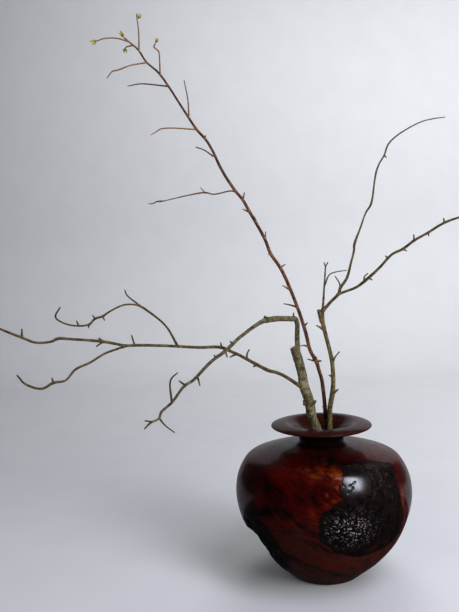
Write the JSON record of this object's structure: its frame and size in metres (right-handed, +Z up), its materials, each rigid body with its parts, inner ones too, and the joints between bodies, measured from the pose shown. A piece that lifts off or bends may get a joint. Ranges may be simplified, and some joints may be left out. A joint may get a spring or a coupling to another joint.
{
  "type": "ikebana arrangement",
  "caption": "Bare spring branches with side twigs, spurs and opening leaf buds, standing in a turned burl-wood vase with a flared rim.",
  "frame": {"origin": "centre of the vase's foot, on the surface it stands on", "axes": "+Z up along the vase's turning axis, -Y towards the viewer, +X to the viewer's right"},
  "size_m": [0.5212, 0.3334, 0.6947],
  "materials": {
    "burl": "polished dark red-brown burl wood with black bark pockets",
    "water": "still water",
    "olive_bark": "grey-green bark with lichen",
    "red_bark": "red-brown young bark with tan nodes",
    "grey_bark": "olive-grey bark",
    "leaf_green": "soft young leaf"
  },
  "bodies": {
    "root": {"vase": "burl", "water": "water", "left_branch": "olive_bark", "middle_shoot": "red_bark", "right_branch": "grey_bark", "leaf_bud_top": "leaf_green", "leaf_bud_shoot_end": "leaf_green", "leaf_bud_low": "leaf_green", "leaf_bud_right": "leaf_green", "leaf_bud_left": "leaf_green"}
  },
  "joints": []
}
